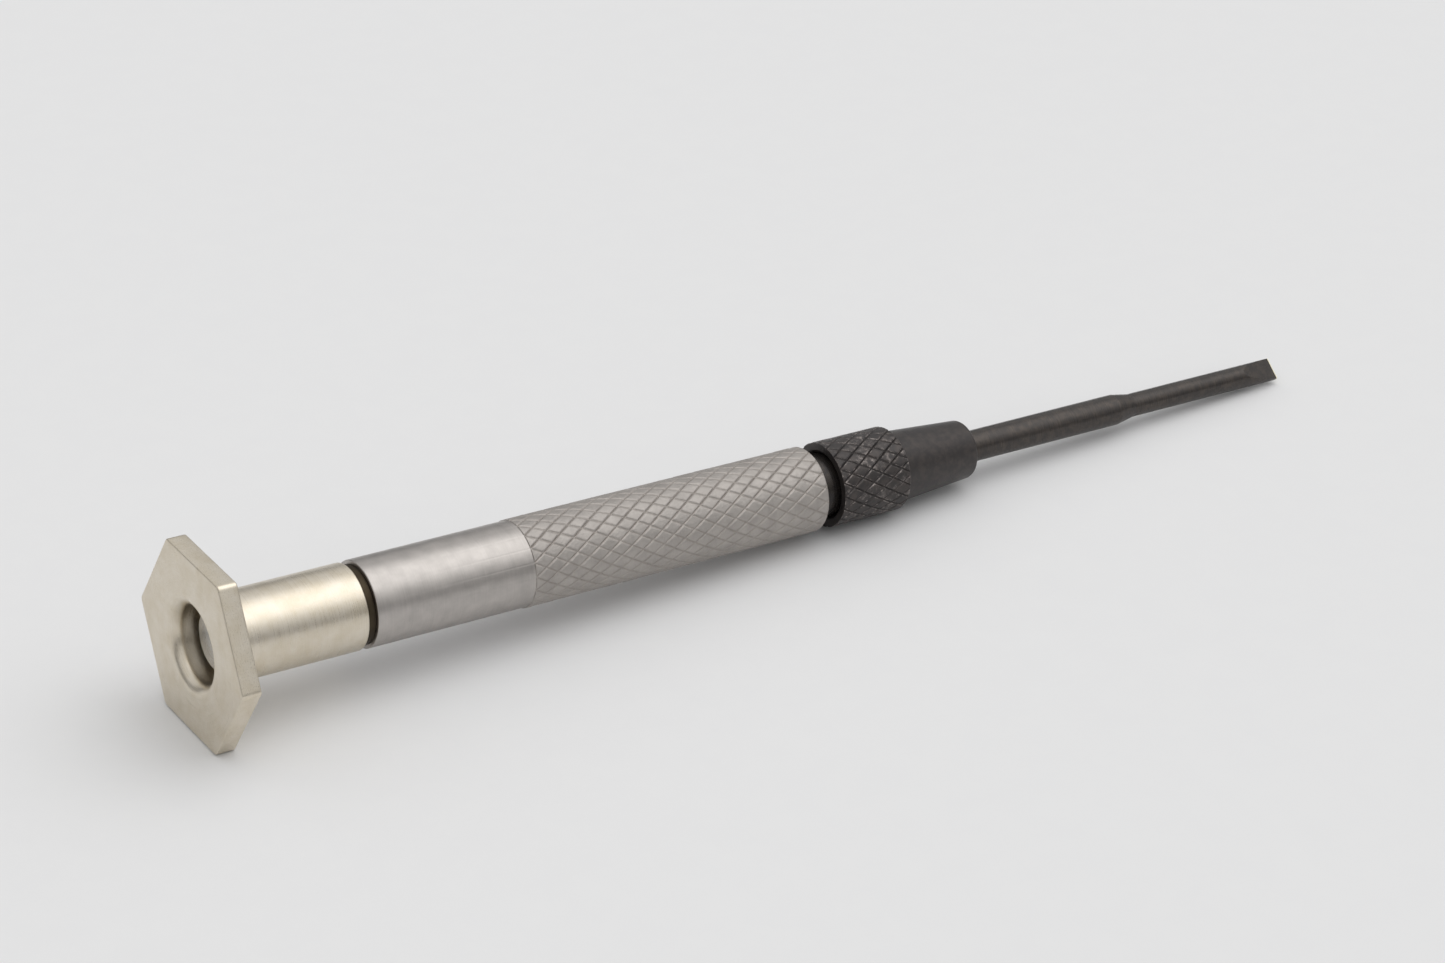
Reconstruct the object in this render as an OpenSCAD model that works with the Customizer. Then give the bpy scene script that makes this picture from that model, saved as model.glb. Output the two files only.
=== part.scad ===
// Precision screwdriver: a free-turning hexagonal head that keeps it from rolling, a knurled
// handle, and a collet chuck that holds a stepped, changeable blade.
// Every piece is turned about one axis. A station is a distance along that axis, measured from
// the head's outer face. The finished tool lies along X, points along +X, and has the middle of
// the blade's end at the origin. The hexagon rests on one of its flats, which faces -Z.

/* [Swivel head] */
// Width of the hexagonal flange across its flats
hex_af = 13.1; // [12:0.1:14]
// Thickness of the hexagonal flange
hex_t = 1.48; // [1.2:0.02:1.6]
// How much is turned off each corner of the hexagon
corner_trim = 0.12; // [0.05:0.01:0.3]
// Diameter of the head's round stem
stem_d = 6.3; // [6:0.05:6.5]
// Length of the head, flange and stem together
head_len = 12.07; // [10:0.01:14]
// Radius of the fillet between flange and stem
stem_fillet = 0.8; // [0.4:0.1:1.2]
// Radius of the rounded mouth of the recess
mouth_round = 0.9; // [0.4:0.05:1]
// Diameter of the recess that holds the pin's head
recess_d = 5.6; // [5.2:0.05:5.8]

/* [Swivel pin and washers] */
// Diameter of the pin's shank
pin_d = 2.4; // [2.1:0.1:2.8]
// Diameter of the pin's head
pin_head_d = 4.4; // [4:0.1:4.8]
// Thickness of the pin's head
pin_head_t = 1; // [0.8:0.1:1.4]
// Depth of the pin's head below the flange's outer face
pin_sink = 1.68; // [1.2:0.02:2.4]
// How far the pin is pressed into the handle
pin_grip = 6; // [4:0.5:10]
// Diameter of the washer under the pin's head
pin_washer_d = 5; // [4.6:0.1:5.1]
// Thickness of the washer under the pin's head
pin_washer_t = 0.3; // [0.2:0.05:0.5]
// Diameter of the thrust washer between head and handle
thrust_washer_d = 5.8; // [5:0.1:6]
// Gap between head and handle, which the thrust washer fills
swivel_gap = 0.67; // [0.4:0.01:1]

/* [Handle] */
// Diameter of the smooth part of the handle
handle_d = 6.35; // [6:0.05:7]
// Diameter over the crests of the handle's knurl
knurl_d = 6.51; // [6.4:0.01:7.2]
// Length of the smooth part of the handle
smooth_len = 12.66; // [8:0.01:20]
// Length of the knurled part of the handle
knurl_len = 25.4; // [20:0.1:40]

/* [Chuck] */
// Diameter of the threaded stub that stands out of the handle
stub_d = 4.8; // [4.6:0.1:5]
// Length of the threaded stub
stub_len = 6.7; // [5:0.1:6.9]
// Diameter of the chuck body's spigot inside the handle
spigot_d = 4.2; // [4:0.1:4.5]
// Length of the chuck body's spigot inside the handle
spigot_len = 10; // [8:0.5:14]
// Gap between the handle and the tightened nut
chuck_gap = 1.47; // [1:0.01:2]
// Length of the nut
nut_len = 13.27; // [12.5:0.01:15]
// Length of the knurled part of the nut
nut_knurl_len = 6.07; // [5:0.01:6.3]
// Diameter over the crests of the nut's knurl
nut_knurl_d = 6.5; // [6.2:0.01:7]
// Diameter of the nut's smooth nose next to the knurl
nose_rear_d = 5.56; // [5.4:0.02:6]
// Diameter of the nut's smooth nose at its front
nose_front_d = 4.56; // [4.4:0.02:5]
// Radius of the nose's rounded front edge
nose_round = 0.55; // [0.3:0.05:0.65]
// Diameter of the collet's tail
collet_tail_d = 3.4; // [3.2:0.1:3.6]
// Width of the slits between the collet's jaws
slit_w = 0.3; // [0.2:0.05:0.5]

/* [Blade] */
// Diameter of the blade's shank
shank_d = 2.42; // [2.2:0.02:2.6]
// Diameter of the blade's thin end
thin_d = 1.84; // [1.4:0.02:2]
// Length of shank inside the tool
shank_in = 21.5; // [18:0.25:24]
// Length of shank in front of the nut
shank_out = 15.01; // [8:0.01:30]
// Length of the taper between the shank and the thin end
step_len = 1.65; // [1.5:0.05:3]
// Length of the thin end, flats included
thin_len = 15; // [8:0.05:30]
// Length of the two flats ground on the end
flat_len = 3.6; // [2.5:0.1:5]
// Thickness of the blade's end
tip_t = 0.3; // [0.2:0.02:0.5]
// Turn of the blade's end about the axis, from level
tip_turn = 38; // [0:1:179]

/* [Hidden] */
$fn = 96;

// Fits and small edge breaks
running_gap = 0.05;
end_play = 0.03;
washer_bore_gap = 0.1;
seat_gap = 0.04;
edge_break = 0.08;
knurl_break = 0.2;
overcut = 1;

// Radii that several pieces share
pin_r = pin_d / 2;
spigot_r = spigot_d / 2;
stub_r = stub_d / 2;
tail_r = collet_tail_d / 2;
grip_r = shank_d / 2 + end_play;

// Stations along the axis
pin_washer_s = pin_sink + pin_head_t;
recess_s = pin_washer_s + pin_washer_t + end_play;
handle_s = head_len + swivel_gap;
pin_end_s = handle_s + pin_grip;
knurl_s = handle_s + smooth_len;
handle_end_s = knurl_s + knurl_len;
spigot_s = handle_end_s - spigot_len;
stub_end_s = handle_end_s + stub_len;
nut_s = handle_end_s + chuck_gap;
nut_knurl_end_s = nut_s + nut_knurl_len;
nut_end_s = nut_s + nut_len;
shank_s = nut_end_s - shank_in;
step_s = nut_end_s + shank_out;
step_end_s = step_s + step_len;
tip_s = step_end_s + thin_len;
flats_s = tip_s - flat_len;

// The taper inside the nut that closes the collet's jaws
cone_s = stub_end_s + 1.5;
cone_rear_r = 2.2;
cone_front_r = 1.55;
thread_r = stub_r + running_gap;

// The collet: its socket in the chuck body, its slits and its two ends
socket_s = handle_end_s + 0.4;
collet_s = socket_s + 0.4;
slit_s = collet_s + 3;
jaw_s = stub_end_s + 0.5;
collet_end_s = nut_end_s - 0.2;
blade_bore_r = shank_d / 2 + 0.14;

// Points on an arc about [r, s], from one angle to another
function arc(r, s, radius, from, to, steps = 8) = [
    for (i = [0 : steps])
        let (a = from + (to - from) * i / steps)
            [r + radius * cos(a), s + radius * sin(a)]
];

// Radius of the nut's inner taper at a station
function cone_r(s) =
    cone_rear_r + (cone_front_r - cone_rear_r) * (s - cone_s) / (nut_end_s - cone_s);

// Lays a piece that stands on Z, with Z as its station, along the tool's axis
module on_axis() {
    translate([-tip_s, 0, 0])
        rotate([0, 90, 0])
            children();
}

// A piece turned on a lathe, from its outline as [radius, station] points
module turned(outline) {
    rotate_extrude()
        polygon(outline);
}

// A flat ring from one station to another
module ring(inner_r, outer_r, from_s, to_s) {
    turned([[inner_r, from_s], [outer_r, from_s], [outer_r, to_s], [inner_r, to_s]]);
}

// The hexagonal plate, with its corners turned down and its edges broken
module hex_flange() {
    corner_r = hex_af / 2 / cos(30) - corner_trim;
    intersection() {
        rotate([0, 0, 30])
            cylinder(r = hex_af / 2 / cos(30), h = hex_t, $fn = 6);
        turned([
            [0, 0], [corner_r - edge_break, 0], [corner_r, edge_break],
            [corner_r, hex_t - edge_break], [corner_r - edge_break, hex_t], [0, hex_t]
        ]);
    }
}

// Head that turns freely under a fingertip while the handle is twisted
module swivel_head() {
    stem_r = stem_d / 2;
    bore_r = pin_r + running_gap;
    mouth_r = recess_d / 2 + mouth_round;
    color([0.78, 0.74, 0.67])
        on_axis()
            difference() {
                union() {
                    hex_flange();
                    turned(concat(
                        [[0, edge_break]], [[stem_r + stem_fillet, edge_break]],
                        arc(stem_r + stem_fillet, hex_t + stem_fillet, stem_fillet, 270, 180),
                        [[stem_r, head_len - edge_break], [stem_r - edge_break, head_len], [0, head_len]]
                    ));
                }
                turned(concat(
                    [[0, -overcut], [mouth_r, -overcut]],
                    arc(mouth_r, mouth_round, mouth_round, 270, 180),
                    [
                        [mouth_r - mouth_round, recess_s], [bore_r, recess_s],
                        [bore_r, head_len + overcut], [0, head_len + overcut]
                    ]
                ));
            }
}

// Headed pin that the head turns on, pressed into the handle
module swivel_pin() {
    head_r = pin_head_d / 2;
    color([0.72, 0.73, 0.75])
        on_axis()
            turned([
                [0, pin_sink], [head_r - edge_break, pin_sink], [head_r, pin_sink + edge_break],
                [head_r, pin_washer_s], [pin_r, pin_washer_s], [pin_r, pin_end_s], [0, pin_end_s]
            ]);
}

// Washer between the pin's head and the bottom of the recess
module pin_washer() {
    color([0.55, 0.45, 0.28])
        on_axis()
            ring(pin_r + washer_bore_gap, pin_washer_d / 2, pin_washer_s, pin_washer_s + pin_washer_t);
}

// Washer that the head bears on when it is pressed towards the handle
module thrust_washer() {
    color([0.22, 0.18, 0.12])
        on_axis()
            ring(pin_r + washer_bore_gap, thrust_washer_d / 2, head_len + end_play, handle_s);
}

// Handle: smooth behind, knurled in front, bored at both ends
module handle_barrel() {
    handle_r = handle_d / 2;
    knurl_r = knurl_d / 2;
    color([0.63, 0.60, 0.57])
        on_axis()
            turned([
                [0, pin_end_s], [pin_r, pin_end_s], [pin_r, handle_s],
                [handle_r - edge_break, handle_s], [handle_r, handle_s + edge_break],
                [handle_r, knurl_s], [knurl_r, knurl_s], [knurl_r, handle_end_s - knurl_break],
                [knurl_r - knurl_break, handle_end_s],
                [spigot_r, handle_end_s], [spigot_r, spigot_s], [0, spigot_s]
            ]);
}

// Chuck body: its spigot is fixed in the handle and its stub carries the nut's thread
module chuck_body() {
    socket_r = tail_r + running_gap;
    color([0.12, 0.11, 0.11])
        on_axis()
            turned([
                [blade_bore_r, spigot_s], [spigot_r, spigot_s], [spigot_r, handle_end_s],
                [stub_r, handle_end_s], [stub_r, stub_end_s - knurl_break],
                [stub_r - knurl_break, stub_end_s], [socket_r, stub_end_s],
                [socket_r, socket_s], [blade_bore_r, socket_s]
            ]);
}

// Spring collet: a tail that slides in the chuck body, and four jaws that the nut closes
module collet() {
    slit_len = nut_end_s - slit_s + overcut;
    color([0.35, 0.34, 0.33])
        on_axis()
            difference() {
                turned([
                    [grip_r, collet_s], [tail_r, collet_s], [tail_r, jaw_s],
                    [cone_r(cone_s) - seat_gap, jaw_s], [cone_r(cone_s) - seat_gap, cone_s],
                    [cone_r(collet_end_s) - seat_gap, collet_end_s], [grip_r, collet_end_s]
                ]);
                for (turn = [0, 90])
                    rotate([0, 0, turn])
                        translate([-slit_w / 2, -stub_r, slit_s])
                            cube([slit_w, stub_d, slit_len]);
            }
}

// Nut: knurled for the fingers behind, with a smooth tapered nose in front
module chuck_nut() {
    knurl_r = nut_knurl_d / 2;
    nose_r = nose_front_d / 2;
    color([0.16, 0.15, 0.15])
        on_axis()
            turned(concat(
                [
                    [thread_r + knurl_break, nut_s], [knurl_r - edge_break, nut_s],
                    [knurl_r, nut_s + edge_break], [knurl_r, nut_knurl_end_s - knurl_break],
                    [knurl_r - knurl_break, nut_knurl_end_s], [nose_rear_d / 2, nut_knurl_end_s]
                ],
                arc(nose_r - nose_round, nut_end_s - nose_round, nose_round, 0, 90),
                [
                    [cone_front_r, nut_end_s], [cone_rear_r, cone_s], [thread_r, cone_s],
                    [thread_r, nut_s + knurl_break]
                ]
            ));
}

// Blade: a round shank, a short taper, and a thin end ground to a flat tip
module blade() {
    shank_r = shank_d / 2;
    thin_r = thin_d / 2;
    wedge_r = thin_r + edge_break;
    color([0.18, 0.17, 0.16])
        on_axis()
            union() {
                turned([
                    [0, shank_s], [shank_r - edge_break, shank_s], [shank_r, shank_s + edge_break],
                    [shank_r, step_s], [thin_r, step_end_s], [thin_r, flats_s], [0, flats_s]
                ]);
                intersection() {
                    translate([0, 0, flats_s])
                        cylinder(r = thin_r, h = flat_len);
                    rotate([90, 0, tip_turn])
                        linear_extrude(height = thin_d + overcut, center = true)
                            polygon([
                                [-wedge_r, flats_s], [-tip_t / 2, tip_s],
                                [tip_t / 2, tip_s], [wedge_r, flats_s]
                            ]);
                }
            }
}

swivel_head();
swivel_pin();
pin_washer();
thrust_washer();
handle_barrel();
chuck_body();
collet();
chuck_nut();
blade();
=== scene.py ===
import math

import bmesh
import bpy
import numpy as np
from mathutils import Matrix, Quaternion, Vector


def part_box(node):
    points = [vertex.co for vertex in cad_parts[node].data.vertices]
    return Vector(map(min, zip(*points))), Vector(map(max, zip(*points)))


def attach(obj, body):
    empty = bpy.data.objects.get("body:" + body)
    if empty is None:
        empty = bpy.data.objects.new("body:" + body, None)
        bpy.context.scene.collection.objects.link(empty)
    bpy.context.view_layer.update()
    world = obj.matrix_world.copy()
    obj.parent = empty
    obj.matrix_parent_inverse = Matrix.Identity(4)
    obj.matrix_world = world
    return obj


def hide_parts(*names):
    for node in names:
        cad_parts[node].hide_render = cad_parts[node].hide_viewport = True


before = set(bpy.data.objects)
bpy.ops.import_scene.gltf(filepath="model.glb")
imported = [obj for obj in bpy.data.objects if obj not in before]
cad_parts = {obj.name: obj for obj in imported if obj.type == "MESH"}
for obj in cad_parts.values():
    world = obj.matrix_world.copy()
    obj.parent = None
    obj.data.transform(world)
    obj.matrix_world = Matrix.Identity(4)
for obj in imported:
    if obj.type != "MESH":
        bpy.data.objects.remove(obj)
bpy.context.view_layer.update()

# Lengths below are in millimetres, and MM turns them into Blender's metres.
# Stations are X values in the frame: the tip is at 0 and the head is at the low end.
MM = 0.001


def span(node):
    """The first and last station of a CAD node."""
    low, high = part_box(node)
    return low.x / MM, high.x / MM


def radius_of(node):
    """Half of a CAD node's height."""
    low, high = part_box(node)
    return (high.z - low.z) / 2 / MM


HEAD_S, HEAD_END_S = span("swivel_head")
PIN_S, PIN_END_S = span("swivel_pin")
WASHER_S, WASHER_END_S = span("thrust_washer")
HANDLE_S, HANDLE_END_S = span("handle_barrel")
BODY_S, BODY_END_S = span("chuck_body")
NUT_S, NUT_END_S = span("chuck_nut")
BLADE_S, TIP_S = span("blade")
_, PIN_WASHER_END_S = span("pin_washer")

# Swivel head
HEX_APOTHEM = radius_of("swivel_head")
HEX_T = 1.48
HEX_CORNER = 0.42
HEX_EDGE = 0.13
STEM_R = 3.15
STEM_FILLET = 0.8
MOUTH_ROUND = 0.9
RECESS_R = 2.8
RECESS_S = PIN_WASHER_END_S + 0.03

# Swivel pin
PIN_HEAD_R = radius_of("swivel_pin")
PIN_HEAD_T = 1.0
PIN_R = 1.2
PIN_BORE_R = 1.25

# Handle
HANDLE_R = 3.175
HANDLE_CREST_R = radius_of("handle_barrel")
SMOOTH_LEN = 12.66
KNURL_S = HANDLE_S + SMOOTH_LEN
KNURL_STEP_LEN = 0.02
HANDLE_ROOT_R = HANDLE_CREST_R - 0.3

# Chuck
SPIGOT_R = 2.1
SPIGOT_LEN = 10.0
STUB_R = radius_of("chuck_body")
BODY_BORE_R = 1.35
COUNTERBORE_R = 1.75
COUNTERBORE_LEN = 6.0
THREAD_PITCH = 0.635
THREAD_DEPTH = 0.3
THREAD_START = 1.75
NUT_CREST_R = radius_of("chuck_nut")
NUT_ROOT_R = NUT_CREST_R - 0.16
NUT_KNURL_LEN = 6.07
NOSE_REAR_R = 2.78
NOSE_FRONT_R = 2.24
NOSE_ROUND = 0.57
NUT_BORE_R = 2.45
NUT_CONE_REAR_R = 2.2
NUT_CONE_FRONT_R = 1.55
NUT_CONE_LEN = 6.54

# Blade
SHANK_R = radius_of("blade")
THIN_R = 0.92
THIN_LEN = 15.0
STEP_LEN = 1.65
FLAT_LEN = 3.6
TIP_HALF_T = 0.15
TIP_BREAK = 0.03
GRIND_CURVE = 1.12        # over 1, the ground flats are slightly hollow
TIP_TURN = math.radians(38)

# Knurl: two families of helical grooves that cross in diamonds. Each has its own depth.
KNURL_STARTS = 19
KNURL_SAMPLES = 20
KNURL_AXIAL_PITCH = 1.792
GROOVE_HALF_WIDTH = 0.13      # in grooves round the knurl
HANDLE_GROOVES = (0.09, 0.085)
HANDLE_CHAMFERS = (0.06, 0.1)
NUT_GROOVES = (0.12, 0.12)
NUT_CHAMFERS = (0.04, 0.08)
SEGMENTS = KNURL_STARTS * KNURL_SAMPLES


# ---------------------------------------------------------------- mesh

def ring(station, radius, count=SEGMENTS, turn=0.0):
    """Points of one ring about the axis. radius is one number, or one for each point."""
    angle = np.arange(count) * 2 * math.pi / count + turn
    radius = np.broadcast_to(radius, count)
    return np.stack([np.full(count, station), radius * np.cos(angle), radius * np.sin(angle)], -1)


def rounded(outline, steps=5):
    """An outline of (station, radius, corner radius) as points, with its corners as arcs."""
    points = []
    for i, (station, radius, corner) in enumerate(outline):
        here = np.array((station, radius), float)
        if corner == 0 or i in (0, len(outline) - 1):
            points.append(here)
            continue
        before = np.array(outline[i - 1][:2]) - here
        after = np.array(outline[i + 1][:2]) - here
        room = 0.49 * min(np.linalg.norm(before), np.linalg.norm(after))
        before /= np.linalg.norm(before)
        after /= np.linalg.norm(after)
        half = math.acos(np.clip(before @ after, -1, 1)) / 2
        reach = min(corner / math.tan(half), room)
        corner = reach * math.tan(half)
        middle = (before + after) / np.linalg.norm(before + after)
        centre = here + middle * corner / math.sin(half)
        first = here + before * reach - centre
        last = here + after * reach - centre
        start = math.atan2(first[1], first[0])
        sweep = math.atan2(last[1], last[0]) - start
        sweep = (sweep + math.pi) % (2 * math.pi) - math.pi
        for step in range(steps + 1):
            a = start + sweep * step / steps
            points.append(centre + corner * np.array((math.cos(a), math.sin(a))))
    return points


def turned(outline, count=SEGMENTS, steps=5):
    """Rings for a rounded outline."""
    return [ring(station, max(radius, 0), count) for station, radius in rounded(outline, steps)]


def skin(name, rings, material, loop=None, sharp=32):
    """A mesh through rings of equal count. A closed tube gives loop, the turn from its last
    ring back to its first in points; an open one ends in rings of no radius."""
    count = len(rings[0])
    points = np.concatenate(rings) * MM
    around = np.arange(count)
    following = (around + 1) % count
    faces = [
        np.stack([i * count + around, i * count + following,
                  (i + 1) * count + following, (i + 1) * count + around], -1)
        for i in range(len(rings) - 1)
    ]
    if loop is not None:
        last = (len(rings) - 1) * count
        faces.append(np.stack([last + around, last + following,
                               (following + loop) % count, (around + loop) % count], -1))
    mesh = bpy.data.meshes.new(name)
    mesh.from_pydata(points.tolist(), [], np.concatenate(faces).tolist())
    shape = bmesh.new()
    shape.from_mesh(mesh)
    bmesh.ops.remove_doubles(shape, verts=shape.verts, dist=0.0004 * MM)
    bmesh.ops.dissolve_degenerate(shape, edges=shape.edges, dist=0.0004 * MM)
    bmesh.ops.recalc_face_normals(shape, faces=shape.faces)
    shape.to_mesh(mesh)
    shape.free()
    mesh.shade_smooth()
    mesh.set_sharp_from_angle(angle=math.radians(sharp))
    mesh.materials.append(material)
    piece = bpy.data.objects.new(name, mesh)
    bpy.context.scene.collection.objects.link(piece)
    return piece


def groove(phase, depth):
    """Depth of one family of V grooves. phase counts grooves round the knurl."""
    away = np.abs(phase - np.round(phase))
    return depth * np.clip(1 - away / GROOVE_HALF_WIDTH, 0, 1)


def knurl(first, last, crest, depths, chamfers, seed):
    """Rings of a diamond knurl between two stations, each turned half a point from the one
    before, so that both families of grooves run through the points. depths are those of the
    two families, and chamfers are the widths of the chamfers at its two ends."""
    steps = 2 * round((last - first) / KNURL_AXIAL_PITCH * KNURL_SAMPLES)
    rough = np.random.default_rng(seed)
    points = np.arange(SEGMENTS)
    wear = rough.random((KNURL_STARTS, KNURL_STARTS)) * 0.02
    rings = []
    for step in range(steps + 1):
        station = first + (last - first) * step / steps
        along = points / KNURL_SAMPLES
        across = (step - points) / KNURL_SAMPLES
        cell = (np.floor(along).astype(int) % KNURL_STARTS, np.floor(across).astype(int) % KNURL_STARTS)
        cut = np.maximum(groove(along, depths[0]), groove(across, depths[1]))
        radius = crest - np.maximum(cut, wear[cell])
        for width, distance in zip(chamfers, (station - first, last - station)):
            if distance < width:
                radius = np.minimum(radius, crest - (width - distance))
        rings.append(ring(station, radius, turn=-step * math.pi / SEGMENTS))
    return rings


def turn_of(rings):
    """How many points a knurl has turned by its last ring."""
    return (len(rings) - 1) // 2


def untwisted(rings, turn):
    """The same rings with their points counted from where a knurl has left off."""
    return [np.roll(r, turn, axis=0) for r in rings]


# ---------------------------------------------------------------- materials

class Finish:
    """A Principled material, with short calls that add nodes to it."""

    def __init__(self, name, metallic):
        self.material = bpy.data.materials.new(name)
        self.material.use_nodes = True
        self.nodes = self.material.node_tree.nodes
        self.links = self.material.node_tree.links
        self.shader = next(n for n in self.nodes if n.type == "BSDF_PRINCIPLED")
        self.shader.inputs["Metallic"].default_value = metallic
        place = self.nodes.new("ShaderNodeTexCoord").outputs["Object"]
        self.place = self.scaled(place, 1 / MM)
        split = self.nodes.new("ShaderNodeSeparateXYZ")
        self.links.new(self.place, split.inputs[0])
        self.x, self.y, self.z = split.outputs
        self.radius = self.math("SQRT", self.math("ADD", self.math("MULTIPLY", self.y, self.y),
                                                  self.math("MULTIPLY", self.z, self.z)))

    def put(self, socket, value):
        """A value or another node's output into a socket."""
        if isinstance(value, bpy.types.NodeSocket):
            self.links.new(value, socket)
        else:
            socket.default_value = value

    def math(self, operation, a, b=0.0):
        node = self.nodes.new("ShaderNodeMath")
        node.operation = operation
        self.put(node.inputs[0], a)
        self.put(node.inputs[1], b)
        return node.outputs[0]

    def scaled(self, vector, factor):
        node = self.nodes.new("ShaderNodeVectorMath")
        node.operation = "SCALE"
        self.put(node.inputs[0], vector)
        self.put(node.inputs["Scale"], factor)
        return node.outputs[0]

    def lathe_place(self, along, around):
        """A place that changes fast across the tool marks of a lathe and slowly along them."""
        node = self.nodes.new("ShaderNodeCombineXYZ")
        slow_y = self.math("MULTIPLY", self.y, around)
        self.put(node.inputs[0], self.math("ADD", self.math("MULTIPLY", self.x, along), slow_y))
        self.put(node.inputs[1], self.math("MULTIPLY", self.radius, along))
        self.put(node.inputs[2], self.math("MULTIPLY", self.z, around))
        return node.outputs[0]

    def noise(self, scale, detail=3.0, roughness=0.55, place=None):
        node = self.nodes.new("ShaderNodeTexNoise")
        self.put(node.inputs["Vector"], place or self.place)
        node.inputs["Scale"].default_value = scale
        node.inputs["Detail"].default_value = detail
        node.inputs["Roughness"].default_value = roughness
        return node.outputs["Fac"]

    def band(self, value, low, high, at_low=0.0, at_high=1.0):
        """value carried from one range to another, and held at its ends."""
        node = self.nodes.new("ShaderNodeMapRange")
        for i, v in enumerate((value, low, high, at_low, at_high)):
            self.put(node.inputs[i], v)
        return node.outputs[0]

    def blend(self, share, a, b):
        """Colour a where share is 0, and b where it is 1."""
        node = self.nodes.new("ShaderNodeMix")
        node.data_type = "RGBA"
        self.put(node.inputs[0], share)
        for socket, colour in ((node.inputs[6], a), (node.inputs[7], b)):
            self.put(socket, (*colour, 1) if isinstance(colour, tuple) else colour)
        return node.outputs[2]

    def bump(self, height, depth, under=None):
        """A bump of depth micrometres for a height from 0 to 1."""
        node = self.nodes.new("ShaderNodeBump")
        node.inputs["Strength"].default_value = 1.0
        node.inputs["Distance"].default_value = depth * 1e-6
        self.put(node.inputs["Height"], height)
        if under is not None:
            self.links.new(under, node.inputs["Normal"])
        return node.outputs[0]

    def finish(self, colour, roughness, normal):
        self.put(self.shader.inputs["Base Color"], colour)
        self.put(self.shader.inputs["Roughness"], roughness)
        self.put(self.shader.inputs["Normal"], normal)
        return self.material


def turned_metal(name, bright, dull, rough, marks, grain, knurl_from=None, crest=0.0):
    """Lathe-turned metal: a colour that drifts between two, fine tool marks and a light grain.
    rough is the range of roughness, and marks and grain are depths in micrometres. In front of
    station knurl_from is a knurl of radius crest: pressed rough, with painted shade that darkens its
    grooves most and the whole knurl a little."""
    f = Finish(name, 1.0)
    drift = f.noise(0.9, detail=4)
    line = f.noise(1.0, detail=3, place=f.lathe_place(22.0, 0.35))
    speck = f.noise(26.0, detail=3)
    tone = f.band(f.math("ADD", f.math("MULTIPLY", drift, 0.6), f.math("MULTIPLY", line, 0.4)), 0.38, 0.62)
    colour = f.blend(tone, dull, bright)
    roughness = f.band(f.math("ADD", f.math("MULTIPLY", speck, 0.5), f.math("MULTIPLY", line, 0.5)),
                       0.35, 0.65, *rough)
    normal = f.bump(speck, grain, f.bump(line, marks))
    if knurl_from is not None:
        pressed = f.band(f.x, knurl_from, knurl_from + 0.05)
        # Painted shade: darker and browner the deeper a point lies in the knurl's grooves, and a little
        # darker on its lands.
        groove_shade = f.band(f.radius, crest - 0.02, crest - 0.1)
        groove_shade = f.math("MULTIPLY", pressed, f.band(groove_shade, 0, 1, 0.1, 0.45))
        colour = f.blend(groove_shade, colour, (0.3, 0.26, 0.22))
        roughness = f.math("ADD", roughness, f.math("MULTIPLY", pressed, 0.2))
        dent = f.math("MULTIPLY", f.noise(5.0, detail=3), pressed)
        normal = f.bump(dent, 45.0, normal)
    return f.finish(colour, roughness, normal)


def black_oxide(name, base, brown, bare_and_glint, rough, marks, grain, crest=None, bare_from=None):
    """Blackened steel with brownish patches. On the shoulders of a knurl of radius crest it is lighter in
    spots, as wear and as painted glints along the diamonds' edges, and it is bare in front of station
    bare_from."""
    f = Finish(name, 0.65)
    patch = f.noise(1.7, detail=5, roughness=0.6)
    speck = f.noise(30.0, detail=3)
    line = f.noise(1.0, detail=3, place=f.lathe_place(18.0, 0.4))
    colour = f.blend(f.band(patch, 0.42, 0.62), base, brown)
    if crest is not None:
        # Wear and painted glints: spots on the knurl's shoulders take the light third colour, standing for
        # glints along the diamonds' edges as well as rubbed-off oxide.
        rub_glint = f.band(f.math("ADD", speck, f.noise(3.0, detail=3)), 1.06, 1.18)
        shoulder = f.math("MULTIPLY", f.band(f.radius, crest - 0.07, crest - 0.045),
                          f.band(f.radius, crest - 0.01, crest - 0.024))
        colour = f.blend(f.math("MULTIPLY", rub_glint, shoulder), colour, bare_and_glint)
    if bare_from is not None:
        edge = f.band(f.math("ADD", f.x, f.math("MULTIPLY", speck, 0.02)), bare_from, bare_from + 0.02)
        colour = f.blend(edge, colour, bare_and_glint)
    roughness = f.band(f.math("ADD", speck, line), 0.7, 1.3, *rough)
    normal = f.bump(speck, grain, f.bump(line, marks))
    return f.finish(colour, roughness, normal)


NICKEL = turned_metal("nickel_plate", (0.74, 0.68, 0.58), (0.66, 0.59, 0.47), (0.24, 0.42), 1.6, 2.2)
BRIGHT = turned_metal("bright_steel", (0.68, 0.69, 0.71), (0.55, 0.55, 0.56), (0.22, 0.4), 2.0, 2.0)
BRASS = turned_metal("dull_brass", (0.45, 0.34, 0.18), (0.30, 0.22, 0.11), (0.35, 0.55), 2.0, 3.0)
# The washer between head and handle: bronze, coloured near black as painted shade of that gap.
GAP_SHADE_BRONZE = turned_metal("bronze_painted_gap_shade", (0.075, 0.06, 0.04), (0.05, 0.038, 0.026), (0.4, 0.6), 2.0, 3.0)
ALUMINIUM = turned_metal("satin_aluminium", (0.50, 0.47, 0.445), (0.41, 0.385, 0.365), (0.28, 0.44),
                         3.0, 4.0, knurl_from=KNURL_S, crest=HANDLE_CREST_R)
SPRING = turned_metal("spring_steel", (0.20, 0.19, 0.185), (0.13, 0.125, 0.12), (0.3, 0.5), 2.0, 2.0)
STUB_BLACK = black_oxide("oiled_black", (0.03, 0.027, 0.026), (0.045, 0.038, 0.033), (0.3, 0.28, 0.25),
                         (0.2, 0.34), 1.5, 1.0)
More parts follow.
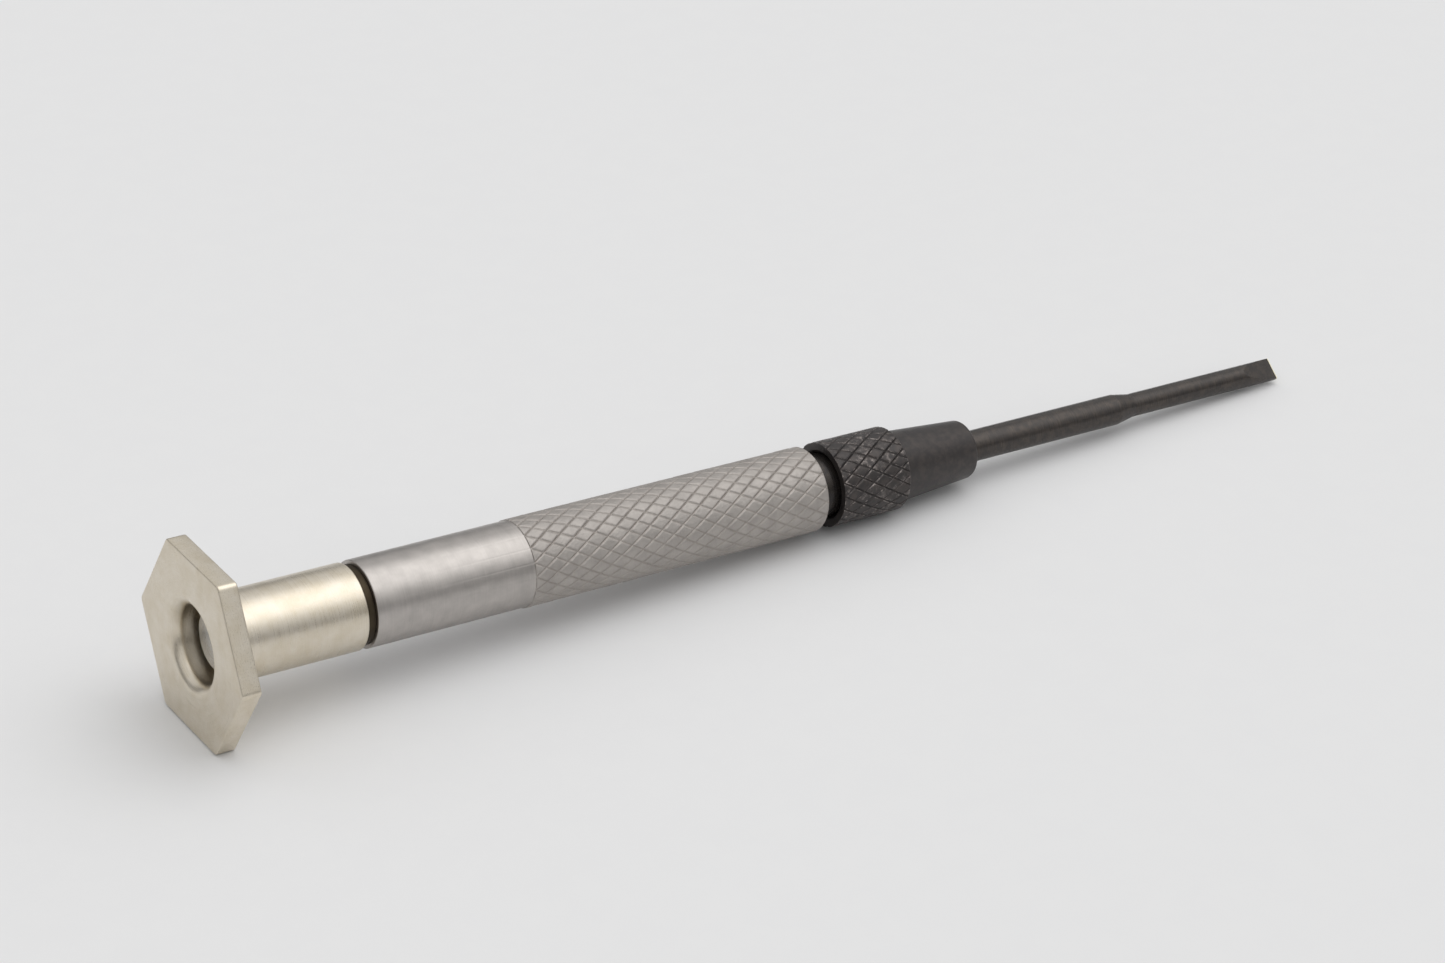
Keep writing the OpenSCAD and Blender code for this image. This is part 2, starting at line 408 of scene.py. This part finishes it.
# Its third colour marks spots on its knurl's shoulders: wear, and painted glints.
NUT_BLACK = black_oxide("black_oxide", (0.054, 0.049, 0.048), (0.074, 0.064, 0.060), (0.36, 0.32, 0.30),
                        (0.32, 0.5), 3.0, 3.0, crest=NUT_CREST_R)
BLADE_BLACK = black_oxide("blade_black", (0.056, 0.05, 0.047), (0.078, 0.066, 0.058), (0.9, 0.84, 0.6),
                          (0.24, 0.36), 2.0, 1.6, bare_from=TIP_S - 0.1)


# ---------------------------------------------------------------- pieces

def place(piece, body, node, slot):
    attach(piece, body)
    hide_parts(node)


def hexagon(station, inset, count):
    """A ring on the hexagon's outline, set in from it, with rounded corners."""
    apothem = HEX_APOTHEM - inset
    corner = max(HEX_CORNER - inset, 0.05)
    angle = np.arange(count) * 2 * math.pi / count
    sixth = math.pi / 3
    off = (angle - math.pi / 2 + sixth / 2) % sixth - sixth / 2
    flat = apothem / np.cos(off)
    to_corner = sixth / 2 - np.abs(off)
    hub = (apothem - corner) / math.cos(sixth / 2)
    arc = hub * np.cos(to_corner) + np.sqrt(np.maximum(corner**2 - (hub * np.sin(to_corner))**2, 0))
    in_corner = apothem * np.abs(np.tan(off)) > (apothem - corner) * math.tan(sixth / 2)
    return ring(station, np.where(in_corner, arc, flat), count)


def make_head():
    count = 480
    back_s = HEAD_S + HEX_T
    inside = turned([
        (RECESS_S, PIN_BORE_R, 0), (RECESS_S, RECESS_R, 0.15),
        (HEAD_S, RECESS_R, MOUTH_ROUND), (HEAD_S, RECESS_R + 2 * MOUTH_ROUND + 0.2, 0),
    ], count, steps=14)
    flange = []
    for step in range(6):
        a = math.pi / 2 * step / 5
        flange.append(hexagon(HEAD_S + HEX_EDGE * (1 - math.sin(a)), HEX_EDGE * (1 - math.cos(a)), count))
    front = flange[::-1]
    back = [r * np.array((-1, 1, 1)) + np.array((HEAD_S + back_s, 0, 0)) for r in flange]
    stem = turned([
        (back_s, STEM_R + STEM_FILLET + 0.6, 0), (back_s, STEM_R, STEM_FILLET),
        (HEAD_END_S, STEM_R, 0.1), (HEAD_END_S, PIN_BORE_R, 0.05), (HEAD_END_S - 1, PIN_BORE_R, 0),
    ], count)
    head = skin("hex_head", inside + front + back + stem, NICKEL, loop=0)
    place(head, "head", "swivel_head", "nickel_plate")


def make_pin():
    head_s = PIN_S + PIN_HEAD_T
    pin = skin("headed_pin", turned([
        (PIN_S, 0, 0), (PIN_S, PIN_HEAD_R, 0.16), (head_s, PIN_HEAD_R, 0.06), (head_s, PIN_R, 0.05),
        (PIN_END_S, PIN_R, 0.2), (PIN_END_S, 0, 0),
    ], 192), BRIGHT)
    place(pin, "handle", "swivel_pin", "pin_steel")


def make_thrust_washer():
    outer, inner = radius_of("thrust_washer"), PIN_R + 0.1
    middle = (WASHER_S + WASHER_END_S) / 2
    # Its near-black bronze is painted shade in the gap between head and handle.
    washer = skin("bearing_washer", turned([
        (middle, inner, 0), (WASHER_S, inner, 0.05), (WASHER_S, outer, 0.09),
        (WASHER_END_S, outer, 0.09), (WASHER_END_S, inner, 0.05), (middle + 0.1, inner, 0),
    ], 192), GAP_SHADE_BRONZE, loop=0)
    place(washer, "handle", "thrust_washer", "washer_bronze")


def make_handle():
    rear = turned([
        (PIN_END_S, 0, 0), (PIN_END_S, PIN_R, 0.1), (HANDLE_S, PIN_R, 0.05),
        (HANDLE_S, HANDLE_R, 0.09), (KNURL_S, HANDLE_R, 0),
    ])
    diamonds = knurl(KNURL_S + KNURL_STEP_LEN, HANDLE_END_S, HANDLE_CREST_R, HANDLE_GROOVES,
                     HANDLE_CHAMFERS, seed=3)
    front = turned([
        (HANDLE_END_S, HANDLE_ROOT_R, 0), (HANDLE_END_S, SPIGOT_R, 0),
        (HANDLE_END_S - SPIGOT_LEN, SPIGOT_R, 0), (HANDLE_END_S - SPIGOT_LEN, 0, 0),
    ])
    handle = skin("knurled_handle", rear + diamonds + untwisted(front, turn_of(diamonds)), ALUMINIUM)
    place(handle, "handle", "handle_barrel", "handle_aluminium")


def make_chuck_body():
    count = 144
    thread_s = HANDLE_END_S + THREAD_START
    rear = turned([
        (BODY_S, BODY_BORE_R, 0), (BODY_S, SPIGOT_R, 0.1), (HANDLE_END_S, SPIGOT_R, 0),
        (HANDLE_END_S, STUB_R, 0.04), (thread_s - 0.1, STUB_R, 0),
    ], count)
    steps = round((BODY_END_S - thread_s) / THREAD_PITCH * 12)
    around = np.arange(count) / count
    thread = []
    for step in range(steps + 1):
        station = thread_s + (BODY_END_S - thread_s) * step / steps
        phase = ((station - thread_s) / THREAD_PITCH - around) % 1
        cut = THREAD_DEPTH * np.clip(1.15 - np.abs(phase - 0.5) * 2.6, 0, 1)
        fade = min(1, step / 12)
        limit = STUB_R - max(0, 0.25 - (BODY_END_S - station))
        thread.append(ring(station, np.minimum(STUB_R - fade * cut, limit), count))
    counterbore_s = BODY_END_S - COUNTERBORE_LEN
    front = turned([
        (BODY_END_S, COUNTERBORE_R, 0), (counterbore_s, COUNTERBORE_R, 0), (counterbore_s, BODY_BORE_R, 0),
    ], count)
    body = skin("chuck_stub", rear + thread + front, STUB_BLACK, loop=0)
    place(body, "handle", "chuck_body", "black_steel")


def make_nut():
    knurl_end_s = NUT_S + NUT_KNURL_LEN
    diamonds = knurl(NUT_S, knurl_end_s, NUT_CREST_R, NUT_GROOVES, NUT_CHAMFERS, seed=8)
    rear = turned([
        (NUT_S + 0.3, NUT_BORE_R, 0), (NUT_S + 0.25, NUT_BORE_R, 0.05), (NUT_S, NUT_BORE_R + 0.25, 0.05),
        (NUT_S, NUT_ROOT_R, 0),
    ])
    nose = turned([
        (knurl_end_s, NUT_ROOT_R, 0), (knurl_end_s, NOSE_REAR_R, 0.06),
        (NUT_END_S, NOSE_FRONT_R, NOSE_ROUND), (NUT_END_S, NUT_CONE_FRONT_R, 0.06),
        (NUT_END_S - NUT_CONE_LEN, NUT_CONE_REAR_R, 0), (NUT_END_S - NUT_CONE_LEN, NUT_BORE_R, 0),
    ])
    turn = turn_of(diamonds)
    nut = skin("knurled_nut", rear + diamonds + untwisted(nose, turn), NUT_BLACK, loop=turn)
    place(nut, "nut", "chuck_nut", "black_nut_steel")


def blade_ring(station, radius, half_t):
    """A ring of two arcs and two flats, square to the flats' width. The flats have no width
    where half_t is the radius."""
    on_arc, on_flat = 40, 12
    corner = math.acos(min(1.0, half_t / radius))
    points = []
    for side in (0, math.pi):
        arc = side + corner + (math.pi - 2 * corner) * np.arange(on_arc) / on_arc
        points += list(np.stack([radius * np.cos(arc), radius * np.sin(arc)], -1))
        end = side + math.pi - corner
        start_point = radius * np.array((math.cos(end), math.sin(end)))
        end_point = radius * np.array((math.cos(end + 2 * corner), math.sin(end + 2 * corner)))
        for step in range(on_flat):
            points.append(start_point + (end_point - start_point) * step / on_flat)
    across, wide = np.array(points).T
    y = across * math.cos(TIP_TURN + math.pi / 2) + wide * math.cos(TIP_TURN)
    z = across * math.sin(TIP_TURN + math.pi / 2) + wide * math.sin(TIP_TURN)
    return np.stack([np.full(len(y), station), y, z], -1)


def make_blade():
    step_end_s = TIP_S - THIN_LEN
    step_s = step_end_s - STEP_LEN
    outline = rounded([
        (BLADE_S, 0, 0), (BLADE_S, SHANK_R, 0.15), (step_s, SHANK_R, 0.6), (step_end_s, THIN_R, 0.3),
        (TIP_S - FLAT_LEN, THIN_R, 0),
    ], steps=6)
    rings = [blade_ring(station, max(radius, 1e-6), max(radius, 1e-6)) for station, radius in outline]
    steps = 24
    for step in range(1, steps + 1):
        share = step / steps
        half_t = TIP_HALF_T + (THIN_R - TIP_HALF_T) * (1 - share) ** GRIND_CURVE
        rings.append(blade_ring(TIP_S - TIP_BREAK - FLAT_LEN * (1 - share) * 0.99, THIN_R, half_t))
    end = blade_ring(TIP_S, THIN_R - TIP_BREAK, TIP_HALF_T - TIP_BREAK)
    rings += [end, end * np.array((1, 0, 0))]
    blade = skin("ground_blade", rings, BLADE_BLACK, sharp=20)
    place(blade, "blade", "blade", "blade_steel")


make_head()
make_pin()
make_thrust_washer()
make_handle()
make_chuck_body()
make_nut()
make_blade()
for node, material in (("pin_washer", BRASS), ("collet", SPRING)):
    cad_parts[node].data.materials.clear()
    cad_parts[node].data.materials.append(material)


# ---------------------------------------------------------------- floor, light and camera

def make_floor():
    """The table. The tool lies on the rear edge of its hexagon's flat and on the front rim of
    the nut's knurl, so in the tool's frame the table slopes."""
    rear = Vector((HEAD_S + HEX_T, -HEX_APOTHEM))
    front = Vector((NUT_S + NUT_KNURL_LEN - 0.14, -NUT_CREST_R))
    slope = math.atan2(front.y - rear.y, front.x - rear.x)
    bpy.ops.mesh.primitive_plane_add(
        size=6, location=(rear.x * MM, 0, rear.y * MM), rotation=(0, -slope, 0))
    floor = bpy.context.object
    floor.name = "table"
    f = Finish("pale_table", 0.0)
    colour = f.blend(f.noise(0.35, detail=3), (0.80, 0.80, 0.805), (0.82, 0.82, 0.82))
    floor.data.materials.append(f.finish(colour, 0.9, f.bump(f.noise(3.0), 4.0)))


def make_light():
    """A pale room: dim at the horizon, and brightest in a wide patch overhead."""
    world = bpy.data.worlds.new("room")
    bpy.context.scene.world = world
    world.use_nodes = True
    nodes, links = world.node_tree.nodes, world.node_tree.links
    place = nodes.new("ShaderNodeTexCoord")

    def toward(direction, low, high, at_low, at_high):
        """Light that grows from at_low to at_high as a ray turns to a direction."""
        dot = nodes.new("ShaderNodeVectorMath")
        dot.operation = "DOT_PRODUCT"
        dot.inputs[1].default_value = Vector(direction).normalized()
        links.new(place.outputs["Generated"], dot.inputs[0])
        ramp = nodes.new("ShaderNodeMapRange")
        ramp.interpolation_type = "SMOOTHSTEP"
        for i, value in enumerate((low, high, at_low, at_high), start=1):
            ramp.inputs[i].default_value = value
        links.new(dot.outputs["Value"], ramp.inputs[0])
        return ramp.outputs[0]

    total = nodes.new("ShaderNodeMath")
    total.operation = "ADD"
    links.new(toward((0, 0, 1), 0.12, 0.5, 0.22, 0.72), total.inputs[0])
    links.new(toward((0.3, -0.15, 0.94), 0.72, 0.99, 0.0, 1.12), total.inputs[1])
    back = next(n for n in nodes if n.type == "BACKGROUND")
    back.inputs["Color"].default_value = (1.0, 1.0, 1.0, 1)
    links.new(total.outputs[0], back.inputs["Strength"])


CAMERA_PLACE = Vector((-197.5, -196.2, 131.1))
CAMERA_AIM = Vector((-54.0, 0.0, 2.45))
CAMERA_ROLL = math.radians(4.72)
CAMERA_LENS = 93.6


def make_camera():
    """A long lens from behind the head, above and to the left, rolled a little."""
    lens = bpy.data.cameras.new("camera")
    lens.lens = CAMERA_LENS
    lens.sensor_width = 36
    lens.clip_start = 0.005
    camera = bpy.data.objects.new("camera", lens)
    bpy.context.scene.collection.objects.link(camera)
    camera.location = CAMERA_PLACE * MM
    level = (CAMERA_AIM * MM - camera.location).to_track_quat("-Z", "Y")
    camera.rotation_euler = (level @ Quaternion((0, 0, 1), CAMERA_ROLL)).to_euler()
    bpy.context.scene.camera = camera


make_floor()
make_light()
make_camera()
bpy.context.scene.view_settings.view_transform = "Standard"
